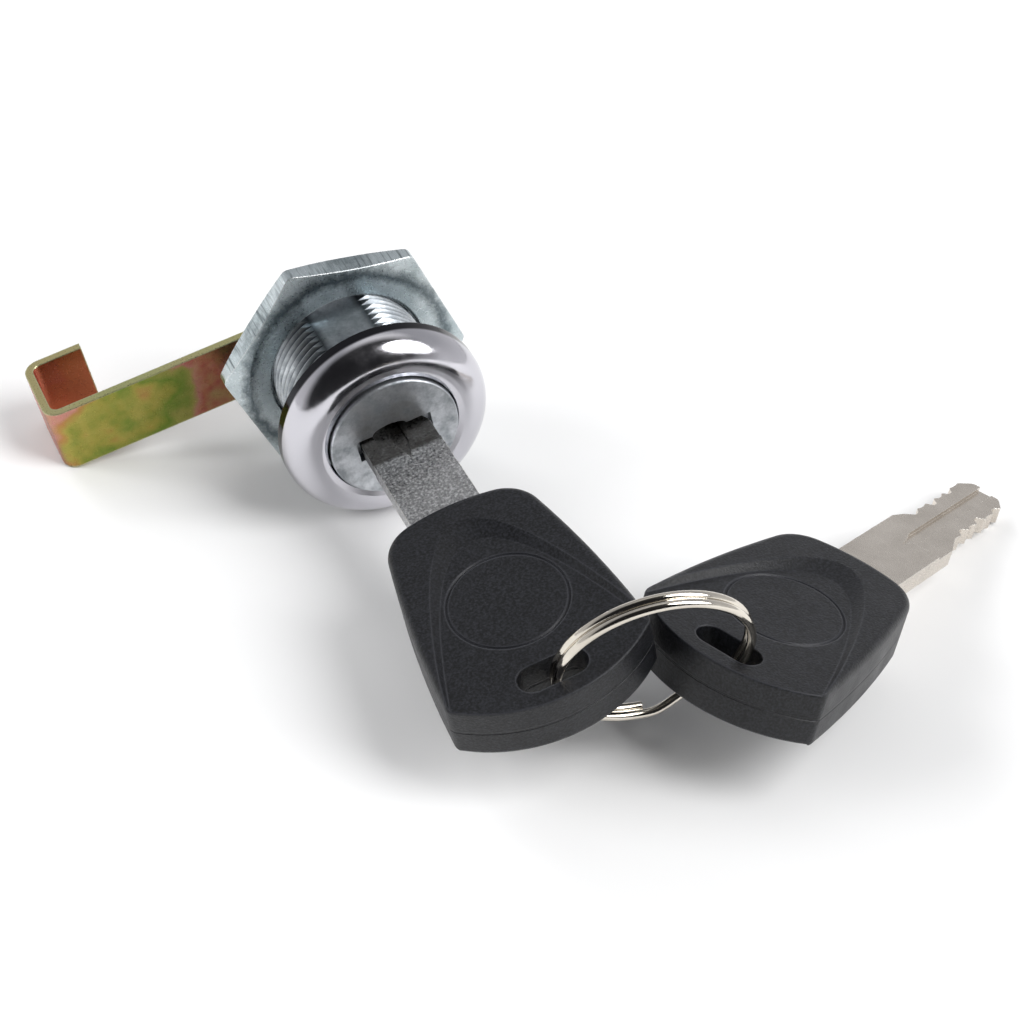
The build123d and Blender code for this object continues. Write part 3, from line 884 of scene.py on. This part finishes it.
@dataclass
class Softbox:
    """A lamp that shines on the lock from its place, and shows in shiny metal if it is mirrored."""

    name: str
    place: tuple[float, float, float]
    size: tuple[float, float]
    power: float
    mirrored: bool = True

    def build(self) -> None:
        """Add the lamp to the scene."""
        lamp = bpy.data.lights.new(self.name, "AREA")
        lamp.shape = "ELLIPSE"
        lamp.size, lamp.size_y = self.size
        lamp.energy = self.power
        holder = bpy.data.objects.new(self.name, lamp)
        bpy.context.scene.collection.objects.link(holder)
        holder.visible_glossy = self.mirrored
        holder.location = self.place
        holder.rotation_euler = (-Vector(self.place)).to_track_quat("-Z", "Y").to_euler()


@dataclass
class Studio:
    """Pale floor, soft light and the camera."""

    target: tuple[float, float, float] = (0.0115, -0.0137, -0.0074)
    distance: float = 0.282
    azimuth: float = -28.14
    elevation: float = 39.75
    tilt: float = 6.06
    lens: float = 84.4
    sensor: float = 36.0
    nearest: float = 0.01
    floor_size: float = 3.0
    floor_colour: str = "#f2f2f2"
    floor_roughness: float = 0.9
    sky: tuple[tuple[float, str], ...] = (
        (0.0, "#e2e2e4"),
        (0.3, "#cfcfd1"),
        (0.55, "#b8b9bc"),
        (0.8, "#b2b3b6"),
        (0.93, "#ffffff"),
    )
    sky_strength: float = 0.92
    dark_side: tuple[float, float, float] = (-0.26, -0.7, 0.66)
    dark_reach: tuple[float, float] = (0.34, 0.62)
    dark_amount: float = 0.97
    dark_colour: str = "#101012"
    softboxes: tuple[Softbox, ...] = (
        Softbox("lamp_top", (0.38, -0.42, 0.58), (0.46, 0.8), 6.5),
        Softbox("lamp_back", (-0.25, 0.75, 0.45), (0.4, 0.4), 2.5, mirrored=False),
        Softbox("lamp_left", (-0.8, 0.2, 0.5), (0.6, 0.6), 5.0, mirrored=False),
    )

    def place_camera(self) -> None:
        """Aim the camera at the lock from the front, a little from the left and from above."""
        camera = bpy.data.cameras.new("camera")
        camera.lens = self.lens
        camera.sensor_width = self.sensor
        camera.clip_start = self.nearest
        holder = bpy.data.objects.new("camera", camera)
        bpy.context.scene.collection.objects.link(holder)
        turn = (
            Matrix.Rotation(math.radians(self.azimuth), 4, "Z")
            @ Matrix.Rotation(math.radians(90 - self.elevation), 4, "X")
            @ Matrix.Rotation(math.radians(self.tilt), 4, "Z")
        )
        back = turn @ Vector((0, 0, 1))
        holder.matrix_world = Matrix.Translation(Vector(self.target) + back * self.distance) @ turn
        bpy.context.scene.camera = holder

    def light(self) -> None:
        """Softboxes, and a surround bright overhead, with one dark side of the room to shape the metal."""
        world = bpy.data.worlds.new("studio")
        bpy.context.scene.world = world
        world.use_nodes = True
        add = partial(add_node, world.node_tree)
        direction = add("TexCoord", output="Generated")
        height = add("SeparateXYZ", inputs=(direction,), output=Axis3.Z.value)
        above_floor = add("MapRange", inputs=(height, 0.0, 1.0, 0.0, 1.0))
        sky = add("ValToRGB", inputs=(above_floor,), stops=self.sky)
        way = add("VectorMath", {"operation": "DOT_PRODUCT"}, (direction, self.dark_side), output="Value")
        dusk = add("MapRange", inputs=(way, *self.dark_reach, 0.0, self.dark_amount))
        room = add("Mix", RGBA, {0: dusk, FIRST: sky, SECOND: self.dark_colour}, output=BLEND)
        surround = world.node_tree.nodes["Background"]
        fill_sockets(world.node_tree, surround, {"Color": room, "Strength": self.sky_strength})
        for softbox in self.softboxes:
            softbox.build()
        bpy.context.scene.view_settings.view_transform = "Standard"

    def lay_floor(self, height: float) -> None:
        """Lay the floor at the height of the object's lowest point.

        Args:
            height: Where the lock rests, in metres.
        """
        bpy.ops.object.select_all(action="DESELECT")
        bpy.ops.mesh.primitive_plane_add(size=self.floor_size, location=(0, 0, height))
        floor = bpy.context.object
        floor.name = "floor"
        material = bpy.data.materials.new("pale_paper")
        material.use_nodes = True
        shader = material.node_tree.nodes["Principled BSDF"]
        look = {"Base Color": self.floor_colour, "Roughness": self.floor_roughness}
        fill_sockets(material.node_tree, shader, look)
        floor.data.materials.append(material)
        floor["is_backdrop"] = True


def main() -> None:
    """Load the frame, dress its nodes and set the stage."""
    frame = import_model()
    cad_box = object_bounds()
    for group in (LockBody(), PlugAndCam(), Wafers(), Nut(), Keys()):
        group.dress(frame["nodes"])
    studio = Studio()
    studio.lay_floor(cad_box[0][2])
    studio.place_camera()
    studio.light()


if __name__ == "__main__":
    main()
